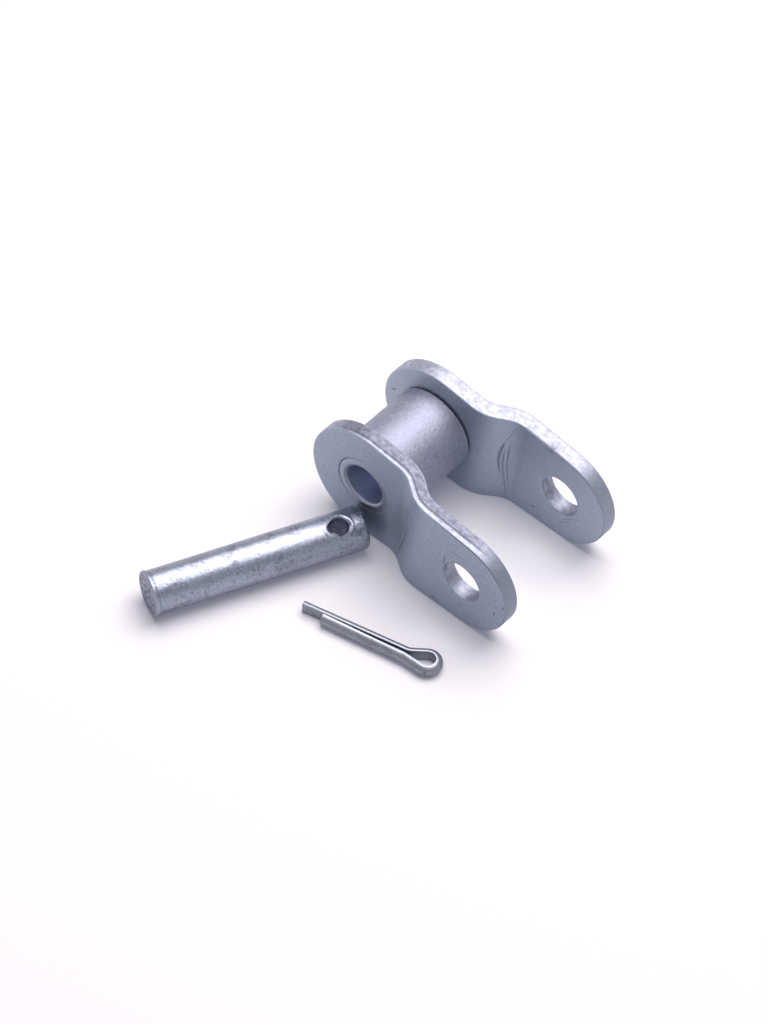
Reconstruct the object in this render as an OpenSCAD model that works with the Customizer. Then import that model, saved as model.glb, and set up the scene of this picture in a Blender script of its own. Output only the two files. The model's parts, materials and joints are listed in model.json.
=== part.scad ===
// Offset link for a 1 inch pitch roller chain: a half link with two cranked side plates,
// a bush with its roller at the narrow end, and a loose connecting pin with its split cotter.
// The link stands on its plate edges, and the pin and the cotter lie on the same flat surface.

/* [Chain size] */
// Distance from the bush axis to the pin hole axis
pitch = 25.4; // [24:0.1:32]
// Clear width between the plates at the bush end
inner_gap = 15.75; // [12:0.05:20]
// Room left between the plates at the pin end for the narrow end of the next link
joint_play = 0.9; // [0.4:0.05:1.6]

/* [Side plates] */
// Thickness of the plates
plate_t = 3.1; // [2.4:0.1:3.8]
// Height of the plates round the bush
bush_end_h = 23.6; // [21:0.1:27]
// Height of the plates round the pin hole
pin_end_h = 20.3; // [16:0.1:23]
// Distance from the bush axis to the middle of the crank
crank_at = 11.5; // [10.5:0.1:12.5]
// Angle of the crank to the flat ends
crank_angle = 36; // [30:1:38]
// Radius on the inside of each bend
bend_r = 5.5; // [3:0.1:6.5]
// Rounding of the tumbled plate edges
plate_edge_r = 0.3; // [0.2:0.05:0.8]
// Countersink at the rims of the plate holes
hole_break = 0.25; // [0.1:0.05:0.5]

/* [Bush and roller] */
// Outside diameter of the bush
bush_d = 11.3; // [10.4:0.05:12.4]
// Press fit of the bush in the plates, on the radius
bush_press = 0.01; // [0.005:0.005:0.03]
// Bevel at the ends of the bush, inside and outside
bush_bevel = 0.35; // [0.1:0.05:0.6]
// Outside diameter of the roller
roller_d = 15.88; // [14.5:0.02:18]
// Running clearance of the roller on the bush, on the radius
roller_fit = 0.08; // [0.03:0.01:0.1]
// End play of the roller between the plates, on each side
roller_play = 0.3; // [0.1:0.05:0.6]
// Rounding of the roller ends
roller_edge_r = 0.6; // [0.2:0.05:1]

/* [Connecting pin] */
// Diameter of the pin
pin_d = 7.94; // [7:0.02:8.6]
// Length of the pin over its ends
pin_l = 40; // [36:0.1:46]
// Running clearance of the pin in the bush, on the radius
pin_bush_fit = 0.05; // [0.03:0.01:0.1]
// Slip clearance of the pin in the plate holes, on the radius
pin_plate_fit = 0.04; // [0.01:0.01:0.05]
// Height of the upset rim that stops the pin at its plain end
pin_rim_h = 0.2; // [0.05:0.05:0.4]
// Length of the upset rim
pin_rim_l = 0.7; // [0.4:0.1:1.5]
// Depth of the dish in the plain end
pin_dish = 0.35; // [0.1:0.05:0.8]
// Bevel at the drilled end
pin_bevel = 0.6; // [0.2:0.1:1]
// Distance of the cotter hole from the drilled end
cotter_hole_at = 5; // [3.5:0.1:7]
// Clearance of the cotter in its hole, on the radius
cotter_fit = 0.45; // [0.1:0.05:0.6]
// Countersink at the rims of the cotter hole
cotter_hole_break = 0.65; // [0.1:0.05:0.8]

/* [Cotter pin] */
// Diameter of the two legs closed together
cotter_d = 2.45; // [2:0.05:3]
// Straight length of the long leg, from its neck to its tip
leg_l = 18.9; // [16:0.1:26]
// How much shorter the other leg is
leg_step = 4.2; // [0:0.1:6]
// Angle of each leg to the middle line, closing towards the tips
leg_splay = 0.7; // [0.2:0.1:2]
// Gap between the legs at the short tip
leg_gap = 0.3; // [0.05:0.05:0.6]
// Inside radius of the eye
eye_r = 1.75; // [1:0.05:2.4]
// Angle at which the long leg runs into the eye
long_neck = 23; // [16:1:34]
// Angle at which the short leg runs into the eye
short_neck = 14; // [10:1:24]
// Bend radius of the necks below the eye, at the flat of the wire
neck_r = 2.5; // [2:0.1:4]

/* [How the loose pieces lie] */
// Turn of the pin from the pitch line
pin_yaw = 65.2; // [50:0.1:80]
// Place of the drilled end along the pitch line
pin_x = 1.8; // [-4:0.1:6]
// Gap between the drilled end and the near plate
pin_gap = 0.4; // [0.3:0.05:2]
// Turn of the cotter hole from upright
pin_roll = 17.6; // [0:0.1:45]
// Turn of the cotter from the pitch line
cotter_yaw = 12.6; // [0:0.5:30]
// Place of the neck of the cotter along the pitch line
cotter_x = 23.2; // [20:0.1:28]
// Distance of the neck of the cotter from the near plate
cotter_gap = 13.1; // [8:0.1:20]

/* [Hidden] */
$fn = 96;
// Steps of the rounded plate edge, of each bend and of each quarter of the round plate ends
edge_steps = 3;
bend_steps = 6;
lobe_steps = 16;
// Steps of the half-round cotter wire, of each of its necks and of its eye
wire_steps = 12;
neck_steps = 5;
eye_steps = 30;
// Overshoot of the drills beyond the faces that they cut
cut = 1;

bush_end_r = bush_end_h / 2;
pin_end_r = pin_end_h / 2;
// The flanks are the common tangents of the round ends, and the link stands on the lower ones
flank_angle = asin((bush_end_r - pin_end_r) / pitch);
floor_z = -bush_end_r;
outer_gap = inner_gap + 2 * plate_t + joint_play;

// The crank is two equal bends with a straight slope between them, drawn on the plate's middle
crank_step = (outer_gap - inner_gap) / 2;
mid_r = bend_r + plate_t / 2;
slope_l = (crank_step - 2 * mid_r * (1 - cos(crank_angle))) / sin(crank_angle);
crank_run = 2 * mid_r * sin(crank_angle) + slope_l * cos(crank_angle);
bend_start = crank_at - crank_run / 2;

bush_r = bush_d / 2;
bush_l = inner_gap + 2 * plate_t;
roller_l = inner_gap - 2 * roller_play;
pin_r = pin_d / 2;
pin_rim_r = pin_r + pin_rim_h;
cotter_r = cotter_d / 2;
cotter_hole_r = cotter_r + cotter_fit;

// The upset rim lifts the plain end a little as the pin lies
pin_tilt = asin(pin_rim_h / pin_l);
pin_y = -bush_l / 2 - pin_gap - pin_r * cos(pin_yaw);
cotter_y = -outer_gap / 2 - plate_t - cotter_gap;

// Half of the gap between the legs where the necks start to bend outwards
neck_gap = leg_gap / 2 + (leg_l - leg_step) * sin(leg_splay);
// The eye touches the flats of both necks: its centre lies one eye radius inside each of them
long_reach = neck_at(long_neck) * [-sin(long_neck), cos(long_neck)] - eye_r;
short_reach = neck_at(short_neck) * [-sin(short_neck), cos(short_neck)] - eye_r;
eye_turn = long_neck + short_neck;
eye_centre = [
    -(long_reach * cos(short_neck) + short_reach * cos(long_neck)) / sin(eye_turn),
    (long_reach * sin(short_neck) - short_reach * sin(long_neck)) / sin(eye_turn)
];

// Where a neck's flat lies when it has bent outwards to a heading, on the side of the long leg
function neck_at(heading) = [
    neck_r * (sin(heading) - sin(leg_splay)),
    neck_gap + neck_r * (cos(leg_splay) - cos(heading))
];

// Flat of one leg from its tip through its neck, on the side of the long leg: [x, y, heading]
function leg_path(length, turn) = concat(
    [[-length * cos(leg_splay), neck_gap - length * sin(leg_splay), leg_splay]],
    [for (i = [0:neck_steps]) let (h = leg_splay + (turn - leg_splay) * i / neck_steps)
        [each neck_at(h), h]]
);

// Flat of the wire from the long tip, round the eye and back to the short tip
short_path = leg_path(leg_l - leg_step, short_neck);
cotter_path = concat(
    leg_path(leg_l, long_neck),
    [for (i = [0:eye_steps]) let (a = 90 + long_neck - (180 + eye_turn) * i / eye_steps)
        [each eye_centre + eye_r * [cos(a), sin(a)], a - 90]],
    [for (i = [len(short_path) - 1:-1:0]) let (p = short_path[i]) [p[0], -p[1], -180 - p[2]]]
);

// Middle line of the far plate in plan through its two bends: [x, y, heading]
crank_line = concat(
    [for (i = [0:bend_steps]) let (turn = crank_angle * i / bend_steps)
        [bend_start + mid_r * sin(turn), mid_r * (1 - cos(turn)), turn]],
    [for (i = [bend_steps:-1:0]) let (turn = crank_angle * i / bend_steps)
        [bend_start + crank_run - mid_r * sin(turn), crank_step - mid_r * (1 - cos(turn)), turn]]
);

// Upper edge of the far plate, from one round end to the other, for a layer of the plate:
// inset is how far the rounded edge has drawn in there, and depth is measured from the middle
function upper_edge(inset, depth) = concat(
    [for (i = [0:lobe_steps]) let (a = 180 - (90 + flank_angle) * i / lobe_steps)
        [(bush_end_r - inset) * cos(a), depth, (bush_end_r - inset) * sin(a)]],
    [for (p = crank_line) let (x = p[0] - depth * sin(p[2]))
        [x, p[1] + depth * cos(p[2]), (bush_end_r - inset - x * sin(flank_angle)) / cos(flank_angle)]],
    [for (i = [0:lobe_steps]) let (a = (90 - flank_angle) * (1 - i / lobe_steps))
        [pitch + (pin_end_r - inset) * cos(a), crank_step + depth, (pin_end_r - inset) * sin(a)]]
);

// A layer's whole outline: the upper edge, then its mirror image back to the start
function outline(upper) = concat(
    upper,
    [for (i = [len(upper) - 2:-1:1]) [upper[i][0], upper[i][1], -upper[i][2]]]
);

// Layers of the plate from its outer face to its inner face: [inset, depth]
edge_round = [for (i = [0:edge_steps]) let (a = 90 * i / edge_steps)
    [plate_edge_r * (1 - sin(a)), plate_t / 2 - plate_edge_r * (1 - cos(a))]];
layers = concat(edge_round, [for (i = [edge_steps:-1:0]) [edge_round[i][0], -edge_round[i][1]]]);

// Cranked plate with rounded edges, lofted through its layers and closed on both faces
module cranked_blank() {
    rings = [for (l = layers) outline(upper_edge(l[0], l[1]))];
    n = len(rings[0]);
    half = n / 2;
    last = (len(layers) - 1) * n;
    sides = [for (k = [0:len(layers) - 2], i = [0:n - 1]) let (a = k * n + i, b = k * n + (i + 1) % n)
        each [[a, b, a + n], [b, b + n, a + n]]];
    outer_face = [for (i = [0:half - 1])
        i == 0 ? [0, n - 1, 1] : i == half - 1 ? [i, n - i, half] : [i, n - i, n - i - 1, i + 1]];
    inner_face = [for (f = outer_face) [for (i = [len(f) - 1:-1:0]) last + f[i]]];
    polyhedron(points = [for (r = rings) each r], faces = concat(outer_face, sides, inner_face));
}

// Drill across a plate, with a countersink at both rims
module plate_drill(r) {
    rotate([90, 0, 0]) {
        cylinder(h = plate_t + 2 * cut, r = r, center = true);
        for (side = [0, 1])
            mirror([0, 0, side])
                translate([0, 0, plate_t / 2 - hole_break])
                    cylinder(h = hole_break + cut, r1 = r, r2 = r + hole_break + cut);
    }
}

module cranked_plate() {
    translate([0, (inner_gap + plate_t) / 2, 0])
        difference() {
            cranked_blank();
            plate_drill(bush_r - bush_press);
            translate([pitch, crank_step, 0])
                plate_drill(pin_r + pin_plate_fit);
        }
}

// Tips the link so that both ends of its plates stand on the floor
module standing() {
    rotate([0, flank_angle, 0])
        children();
}

module near_plate() {
    color("#979DAE")
        standing()
            mirror([0, 1, 0])
                cranked_plate();
}

module far_plate() {
    color("#979DAE")
        standing()
            cranked_plate();
}

// The bush is pressed into both plates, flush with their outer faces
module bush() {
    bore_r = pin_r + pin_bush_fit;
    color("#8D93A6")
        rotate([90, 0, 0])
            translate([0, 0, -bush_l / 2])
                rotate_extrude()
                    polygon([
                        [bore_r, bush_bevel],
                        [bore_r + bush_bevel, 0],
                        [bush_r - bush_bevel, 0],
                        [bush_r, bush_bevel],
                        [bush_r, bush_l - bush_bevel],
                        [bush_r - bush_bevel, bush_l],
                        [bore_r + bush_bevel, bush_l],
                        [bore_r, bush_l - bush_bevel]
                    ]);
}

// The roller turns on the bush between the plates, and its ends are rounded over
module roller() {
    roller_r = roller_d / 2;
    bore_r = bush_r + roller_fit;
    color("#A6ABBB")
        rotate([90, 0, 0])
            translate([0, 0, -roller_l / 2])
                rotate_extrude() {
                    translate([bore_r, 0])
                        square([roller_r - roller_edge_r - bore_r, roller_l]);
                    translate([bore_r, roller_edge_r])
                        square([roller_r - bore_r, roller_l - 2 * roller_edge_r]);
                    for (z = [roller_edge_r, roller_l - roller_edge_r])
                        translate([roller_r - roller_edge_r, z])
                            circle(roller_edge_r);
                }
}

// Turned pin along +X, with its plain end at the origin
module pin_turning() {
    rotate([0, 90, 0])
        rotate_extrude()
            polygon([
                [0, pin_dish],
                [pin_r - pin_bevel, 0],
                [pin_r, 0],
                [pin_rim_r, pin_rim_h],
                [pin_rim_r, pin_rim_l],
                [pin_r, pin_rim_l + 2 * pin_rim_h],
                [pin_r, pin_l - pin_bevel],
                [pin_r - pin_bevel, pin_l],
                [0, pin_l]
            ]);
}

// Cross drill for the cotter, countersunk at both rims
module cotter_drill() {
    cylinder(h = pin_d + 2 * cut, r = cotter_hole_r, center = true);
    for (side = [0, 1])
        mirror([0, 0, side])
            translate([0, 0, pin_r - cotter_hole_break])
                cylinder(
                    h = cotter_hole_break + cut,
                    r1 = cotter_hole_r,
                    r2 = cotter_hole_r + cotter_hole_break + cut
                );
}

// The pin lies beside the near plate with its drilled end towards the bush
module connecting_pin() {
    color("#A9ADBC")
        translate([pin_x, pin_y, floor_z + pin_r])
            rotate([0, pin_tilt, pin_yaw])
                rotate([pin_roll, 0, 0])
                    translate([-pin_l, 0, 0])
                        difference() {
                            pin_turning();
                            translate([pin_l - cotter_hole_at, 0, 0])
                                cotter_drill();
                        }
}

// Half-round wire swept along the cotter's path, with its flat on the path
module bent_wire(path) {
    rings = [for (p = path) [for (i = [0:wire_steps]) let (a = 180 * i / wire_steps)
        [p[0] - cotter_r * sin(a) * sin(p[2]), p[1] + cotter_r * sin(a) * cos(p[2]), cotter_r * cos(a)]]];
    n = wire_steps + 1;
    last = (len(path) - 1) * n;
    sides = [for (k = [0:len(path) - 2], i = [0:n - 1]) let (a = k * n + i, b = k * n + (i + 1) % n)
        each [[a, a + n, b], [b, a + n, b + n]]];
    polyhedron(
        points = [for (r = rings) each r],
        faces = concat([[for (i = [0:n - 1]) i]], sides, [[for (i = [n - 1:-1:0]) last + i]])
    );
}

module cotter_pin() {
    color("#A3AABD")
        translate([cotter_x, cotter_y, floor_z + cotter_r])
            rotate([0, 0, cotter_yaw])
                bent_wire(cotter_path);
}

near_plate();
far_plate();
bush();
roller();
connecting_pin();
cotter_pin();
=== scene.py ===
# %% [markdown]
# # Offset link of a roller chain
# An offset link, or half link, lets a roller chain have an odd number of pitches. Its narrow end is
# an inner link: two plates pressed on a bush, with a roller that turns on it. Its wide end is an outer
# link: the next bush goes between the plates, a pin goes through all of it, and a split cotter keeps
# the pin in. Both ends are one plate, so each plate has a crank in its middle.
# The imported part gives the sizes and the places. Here every piece gets the rounded edges, the marks of
# its making and the steel that it shows from a step away.

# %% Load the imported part
import json
import math

import bmesh
import bpy
from mathutils import Matrix, Quaternion, Vector, noise


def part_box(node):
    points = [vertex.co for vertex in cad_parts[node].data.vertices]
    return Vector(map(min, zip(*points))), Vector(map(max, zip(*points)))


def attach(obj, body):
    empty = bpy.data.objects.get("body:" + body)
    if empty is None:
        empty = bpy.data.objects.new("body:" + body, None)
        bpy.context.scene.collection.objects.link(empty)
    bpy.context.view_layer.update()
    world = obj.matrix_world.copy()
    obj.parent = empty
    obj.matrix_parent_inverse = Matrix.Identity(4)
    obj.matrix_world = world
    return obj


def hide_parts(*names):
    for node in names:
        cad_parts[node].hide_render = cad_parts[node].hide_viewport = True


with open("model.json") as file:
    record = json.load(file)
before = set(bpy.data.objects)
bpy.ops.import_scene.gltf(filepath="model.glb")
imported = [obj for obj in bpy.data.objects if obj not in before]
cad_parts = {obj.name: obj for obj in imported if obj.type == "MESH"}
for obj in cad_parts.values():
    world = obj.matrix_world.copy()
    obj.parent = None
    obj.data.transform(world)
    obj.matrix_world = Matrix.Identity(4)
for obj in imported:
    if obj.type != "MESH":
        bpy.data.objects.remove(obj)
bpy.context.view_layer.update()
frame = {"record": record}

# %% [markdown]
# ## Sizes
# Pieces are drawn in millimetres, because bevels and cuts are easier to think of in that unit, and are
# scaled to metres when they become objects. The link's own frame has the bush axis along Y and the
# pitch line along X. The link stands on the lower flanks of its plates, so it is tipped about Y until
# both ends touch the floor. The place of the pin holes gives that tip and the pitch.

# %% Sizes from the frame
MM = 0.001
# Millimetres within which a place counts as reached: on a surface, in coarser tests, and by a cut
TOUCH = 0.001
NEAR = 0.01
CUT_TOUCH = 0.0001
mounts = {m["name"]: m for m in frame["record"]["mounts"]}
hole_place = Vector(mounts["pin_holes"]["pos_m"]) / MM
pitch = hole_place.length
link_tilt = math.atan2(-hole_place.z, hole_place.x)
pin_hole_r = mounts["pin_holes"]["dims"]["r_mm"]
bush_bore_r = mounts["bush_bore"]["dims"]["r_mm"]

near_low, near_high = (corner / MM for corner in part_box("near_plate"))
bush_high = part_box("bush")[1] / MM
roller_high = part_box("roller")[1] / MM
bush_r, bush_half = bush_high.x, bush_high.y
roller_r, roller_half = roller_high.x, roller_high.y
plate_t = bush_half + near_high.y
crank_step = -near_low.y - bush_half
floor_z = near_low.z
bush_end_r = -floor_z
pin_end_r = near_high.x - hole_place.x
flank = math.asin((bush_end_r - pin_end_r) / pitch)
print(f"pitch {pitch:.2f} mm, plates {plate_t:.2f} mm thick")
print(f"crank {crank_step:.2f} mm, floor at {floor_z:.2f} mm")

# %% [markdown]
# ## Two helpers for materials
# Colours are written as the hex values that a paint program shows. The renderer works in linear light,
# so one function converts them. A second one adds a node, sets its options and fills its sockets with
# values or with links from earlier nodes.


# %% Material helpers
def linear(hex_colour):
    """An sRGB hex colour as linear red, green, blue and alpha."""
    parts = [int(hex_colour[i:i + 2], 16) / 255 for i in (1, 3, 5)]
    return [c / 12.92 if c <= 0.04045 else ((c + 0.055) / 1.055) ** 2.4 for c in parts] + [1.0]


def add(tree, kind, sockets=None, **options):
    """Adds a node with its options. A socket takes a value, or a link from another node's output."""
    made = tree.nodes.new(kind)
    for name, value in options.items():
        setattr(made, name, value)
    for name, value in (sockets or {}).items():
        if isinstance(value, bpy.types.NodeSocket):
            tree.links.new(value, made.inputs[name])
        else:
            made.inputs[name].default_value = value
    return made


def per_metre(size_mm):
    """The scale at which one cell of a pattern is this wide."""
    return 1 / (size_mm * MM)


print("mid grey #808080 is", round(linear("#808080")[0], 3), "in linear light")

# %% [markdown]
# ## Shot-blasted steel
# The plates, the roller and the bush are hardened steel that was blasted with fine shot. The shot
# leaves a satin skin of tiny dimples: a blue-grey metal with no sharp reflections, and highlights that
# sparkle a little along their borders. One function makes it, because plates, roller and bush differ
# only in shade, in gloss and in how deep the dimples are. The far plate's copy is painted a shade
# lighter, as painted light for its shaded inner face. Three attributes of the mesh say where tumbling
# has rubbed the metal brighter, with painted light in the bush's bore, where the shears have torn it,
# and where dirt and painted shade darken it. Real shot marks are too fine to show in the picture, so
# they are drawn as coarse as they need to be.


# %% Shot-blasted steel
FLECK_MM = 0.9
TORN_SHADES = ("#5A5E6B", "#8C909F")
# Colour of dirt, and of the painted shade in grooves, dents and rims that turn away from the light
DIRT_AND_PAINTED_SHADE = "#434754"
# Nearly all values of a noise texture lie in this range
NOISE_RANGE = {"From Min": 0.3, "From Max": 0.7}


def blasted_steel(name, face_shades, rubbed_and_lit_shades, mottle, dimple_mm, dimple_depth_mm, gloss):
    """Satin steel: mottle is the share of the flecks in its grain, dimple_mm the width of the shot marks."""
    material = bpy.data.materials.new(name)
    material.use_nodes = True
    tree = material.node_tree
    surface = tree.nodes["Principled BSDF"]
    place = add(tree, "ShaderNodeTexCoord").outputs["Object"]
    flecks = add(tree, "ShaderNodeTexNoise", {
        "Vector": place, "Scale": per_metre(FLECK_MM), "Detail": 4.0, "Roughness": 0.6}).outputs["Fac"]
    dimples = add(tree, "ShaderNodeTexNoise", {
        "Vector": place, "Scale": per_metre(dimple_mm), "Detail": 3.0, "Roughness": 0.65}).outputs["Fac"]
    relief = add(tree, "ShaderNodeMix", {0: mottle, 2: dimples, 3: flecks}).outputs[0]
    grain = add(tree, "ShaderNodeMapRange", {"Value": relief, **NOISE_RANGE}).outputs["Result"]
    spots = add(tree, "ShaderNodeMapRange", {"Value": flecks, **NOISE_RANGE}).outputs["Result"]
    rubbed_and_lit, torn, dirt_and_shade = (
        add(tree, "ShaderNodeAttribute", attribute_name=layer).outputs["Fac"]
        for layer in ("rubbed_and_lit", "torn", "dirt_and_shade"))

    colour, bright, grey = (
        add(tree, "ShaderNodeMix", {
            0: share, 6: linear(dark), 7: linear(light)}, data_type="RGBA").outputs[2]
        for share, (dark, light) in ((grain, face_shades), (spots, rubbed_and_lit_shades), (spots, TORN_SHADES)))
    # Rubbed metal with painted light, torn metal, then dirt and painted shade, laid over the grain
    for share, over in ((rubbed_and_lit, bright), (torn, grey), (dirt_and_shade, linear(DIRT_AND_PAINTED_SHADE))):
        colour = add(tree, "ShaderNodeMix", {0: share, 6: colour, 7: over}, data_type="RGBA").outputs[2]
    tree.links.new(colour, surface.inputs["Base Color"])

    rough = add(tree, "ShaderNodeMix", {0: grain, 2: gloss[0], 3: gloss[1]}).outputs[0]
    tree.links.new(rough, surface.inputs["Roughness"])
    bump = add(tree, "ShaderNodeBump", {
        "Height": relief, "Strength": 1.0, "Distance": dimple_depth_mm * MM})
    tree.links.new(bump.outputs["Normal"], surface.inputs["Normal"])
    surface.inputs["Metallic"].default_value = 1.0
    return material


# Satin blue-grey with a fine sparkle
near_steel = blasted_steel(
    "shot_blasted_plate_steel", ("#919AAB", "#B0B9C7"), ("#8B90A0", "#B1B6C5"),
    mottle=0.15, dimple_mm=0.32, dimple_depth_mm=0.02, gloss=(0.5, 0.62))
# The same satin, painted a shade lighter as painted light for the far plate's shaded inner face
far_steel_painted_lighter = blasted_steel(
    "shot_blasted_plate_steel_painted_lighter", ("#9AA2B3", "#BAC2CF"), ("#8D92A2", "#B8BCCA"),
    mottle=0.15, dimple_mm=0.32, dimple_depth_mm=0.02, gloss=(0.5, 0.62))
# A darker skin whose deep dimples break the highlight into grains, with bright rims
roller_steel = blasted_steel(
    "shot_blasted_roller_steel", ("#7E8495", "#ABAFBD"), ("#A8ABB8", "#C4C7D1"),
    mottle=0.35, dimple_mm=0.34, dimple_depth_mm=0.13, gloss=(0.47, 0.61))
# Smoother and more even; its bore is reamed and painted lighter against the shade inside it
bush_steel = blasted_steel(
    "case_hardened_bush_steel", ("#989FAF", "#A5ACBC"), ("#B6BFD6", "#C1CADF"),
    mottle=0.15, dimple_mm=0.4, dimple_depth_mm=0.012, gloss=(0.42, 0.54))
print("made", near_steel.name, far_steel_painted_lighter.name, roller_steel.name, bush_steel.name)

# %% [markdown]
# ## Tumbled pin steel and drawn wire
# The pin was ground and then tumbled, so it is brighter and smoother than the plates. Handling has left
# pits and short scuffs along it. The cotter is drawn wire with a zinc coat: a duller silver, with faint
# lines along the wire, and lighter along its top, partly from wear and partly as a painted highlight.
# The lines of both are stretched along the piece, so a Mapping node turns them to lie with it.


# %% Tumbled and drawn steel
PATCH_PITS = 5
PATCH_SHARE = 0.35
LINE_STRETCH = (0.12, 1.0, 1.0)
PIT_SHADE = "#6F7381"
# Worn metal with a painted highlight, along the top of the cotter wire
WORN_AND_HIGHLIGHT_SHADE = "#B9BEC8"
# Where the pattern of wear goes from pit to clear metal, and where the dapple goes from dull to glossy
CLEAR_RANGE = {"From Min": 0.34, "From Max": 0.48}
GLOSS_RANGE = {"From Min": 0.35, "From Max": 0.65}


def drawn_steel(name, shade, light, turn_deg, line_mm, line_depth_mm, pit_mm, pit_depth_mm, gloss):
    """Bright steel with fine lines along a piece that lies turned in plan, and scattered pits."""
    material = bpy.data.materials.new(name)
    material.use_nodes = True
    tree = material.node_tree
    surface = tree.nodes["Principled BSDF"]
    place = add(tree, "ShaderNodeTexCoord").outputs["Object"]
    along = add(tree, "ShaderNodeMapping", {
        "Vector": place, "Rotation": (0, 0, -math.radians(turn_deg)), "Scale": LINE_STRETCH})
    lines = add(tree, "ShaderNodeTexNoise", {
        "Vector": along.outputs["Vector"], "Scale": per_metre(line_mm), "Detail": 4.0, "Roughness": 0.6})
    dapple = add(tree, "ShaderNodeTexNoise", {
        "Vector": place, "Scale": per_metre(pit_mm), "Detail": 4.0, "Roughness": 0.65})
    patches = add(tree, "ShaderNodeTexNoise", {
        "Vector": place, "Scale": per_metre(PATCH_PITS * pit_mm), "Detail": 2.0})
    streaks = add(tree, "ShaderNodeMapRange", {
        "Value": lines.outputs["Fac"], **NOISE_RANGE}).outputs["Result"]
    worn = add(tree, "ShaderNodeMix", {
        0: PATCH_SHARE, 2: dapple.outputs["Fac"], 3: patches.outputs["Fac"]}).outputs[0]
    clear = add(tree, "ShaderNodeMapRange", {"Value": worn, **CLEAR_RANGE}).outputs["Result"]
    rubbed_and_lit, dirt_and_shade = (
        add(tree, "ShaderNodeAttribute", attribute_name=layer).outputs["Fac"]
        for layer in ("rubbed_and_lit", "dirt_and_shade"))

    skin = add(tree, "ShaderNodeMix", {
        0: streaks, 6: linear(shade), 7: linear(light)}, data_type="RGBA").outputs[2]
    colour = add(tree, "ShaderNodeMix", {
        0: clear, 6: linear(PIT_SHADE), 7: skin}, data_type="RGBA").outputs[2]
    # Wear with a painted highlight, then dirt and painted shade
    for share, over in ((rubbed_and_lit, WORN_AND_HIGHLIGHT_SHADE), (dirt_and_shade, DIRT_AND_PAINTED_SHADE)):
        colour = add(tree, "ShaderNodeMix", {
            0: share, 6: colour, 7: linear(over)}, data_type="RGBA").outputs[2]
    tree.links.new(colour, surface.inputs["Base Color"])
    rough = add(tree, "ShaderNodeMapRange", {
        "Value": dapple.outputs["Fac"], **GLOSS_RANGE, "To Min": gloss[1], "To Max": gloss[0]})
    tree.links.new(rough.outputs["Result"], surface.inputs["Roughness"])
    scuffs = add(tree, "ShaderNodeBump", {
        "Height": lines.outputs["Fac"], "Strength": 1.0, "Distance": line_depth_mm * MM})
    dents = add(tree, "ShaderNodeBump", {
        "Height": dapple.outputs["Fac"], "Strength": 1.0, "Distance": pit_depth_mm * MM,
        "Normal": scuffs.outputs["Normal"]})
    tree.links.new(dents.outputs["Normal"], surface.inputs["Normal"])
    surface.inputs["Metallic"].default_value = 1.0
    return material


pin_yaw = 65.2
cotter_yaw = 12.6
# Bright bar with scuffs along it and scattered dark pits
pin_steel = drawn_steel(
    "tumbled_pin_steel", "#848B9A", "#A4ABB9", pin_yaw,
    line_mm=0.3, line_depth_mm=0.03, pit_mm=0.65, pit_depth_mm=0.05, gloss=(0.3, 0.43))
# Dull silver with faint lines along it, lighter along its top where it is worn and a highlight is painted
cotter_wire = drawn_steel(
    "zinc_plated_drawn_wire", "#80858F", "#979CA5", cotter_yaw,
    line_mm=0.3, line_depth_mm=0.012, pit_mm=0.5, pit_depth_mm=0.02, gloss=(0.46, 0.58))
print("made", pin_steel.name, cotter_wire.name)

# %% [markdown]
# ## From a bmesh to a finished piece
# Every piece ends in the same way. It is scaled to metres, becomes a mesh, is shaded smooth, and takes
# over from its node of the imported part. A Weighted Normal modifier keeps the flat faces flat beside
# their rounded edges, which plain smooth shading would bend.

# %% Finishing helper
SHARP = math.radians(40)


def finish_piece(bm, name, node, body, material):
    """Makes the object of a piece that was drawn in millimetres, in the part's frame."""
    bmesh.ops.scale(bm, vec=(MM, MM, MM), verts=bm.verts)
    for edge in bm.edges:
        edge.smooth = not edge.is_manifold or edge.calc_face_angle() < SHARP
    mesh = bpy.data.meshes.new(name)
    bm.to_mesh(mesh)
    bm.free()
    for polygon in mesh.polygons:
        polygon.use_smooth = True
    mesh.materials.append(material)
    obj = bpy.data.objects.new(name, mesh)
    bpy.context.scene.collection.objects.link(obj)
    flats = obj.modifiers.new("flat_faces_stay_flat", "WEIGHTED_NORMAL")
    flats.keep_sharp = True
    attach(obj, body)
    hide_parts(node)
    print(f"{name}: {len(mesh.polygons)} faces, for {node} on {body}")


# %% [markdown]
# ## Turned pieces
# The roller, the bush and the pin are bodies of revolution, so a few points of their section are spun
# about an axis. A full spin merges its last ring into its first one. The corners are then bevelled:
# a real turned piece has no perfectly sharp corner, and the small round catches the light.

# %% Turning helper
CORNER = math.radians(30)
ALONG_Y = Matrix.Rotation(math.pi / 2, 3, "Z")


def turned(section, closed, steps):
    """Spins a section of (place along X, radius) points about the X axis."""
    bm = bmesh.new()
    points = [bm.verts.new((x, 0, r)) for x, r in section]
    for first, second in zip(points, points[1:] + points[:1] if closed else points[1:]):
        bm.edges.new((first, second))
    bmesh.ops.spin(bm, geom=bm.verts[:] + bm.edges[:], cent=(0, 0, 0), axis=(1, 0, 0),
                   angle=math.tau, steps=steps, use_merge=True)
    bmesh.ops.remove_doubles(bm, verts=bm.verts, dist=TOUCH)
    bmesh.ops.recalc_face_normals(bm, faces=bm.faces)
    return bm


def round_corners(bm, width, segments, chosen):
    """Bevels the corners sharper than CORNER whose middle the test chosen accepts."""
    corners = [e for e in bm.edges if e.is_manifold and e.calc_face_angle() > CORNER
               and chosen((e.verts[0].co + e.verts[1].co) / 2)]
    bmesh.ops.bevel(bm, geom=corners, offset=width, offset_type="OFFSET", segments=segments,
                    profile=0.5, affect="EDGES", material=-1)


print("a turned piece has its corners rounded after the spin")

# %% [markdown]
# ## Roller
# The roller is a thick ring that turns on the bush. Its outer corners are rounded over, so that it
# rolls into the sprocket's teeth without cutting them, and tumbling has rubbed them brighter.

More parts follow.
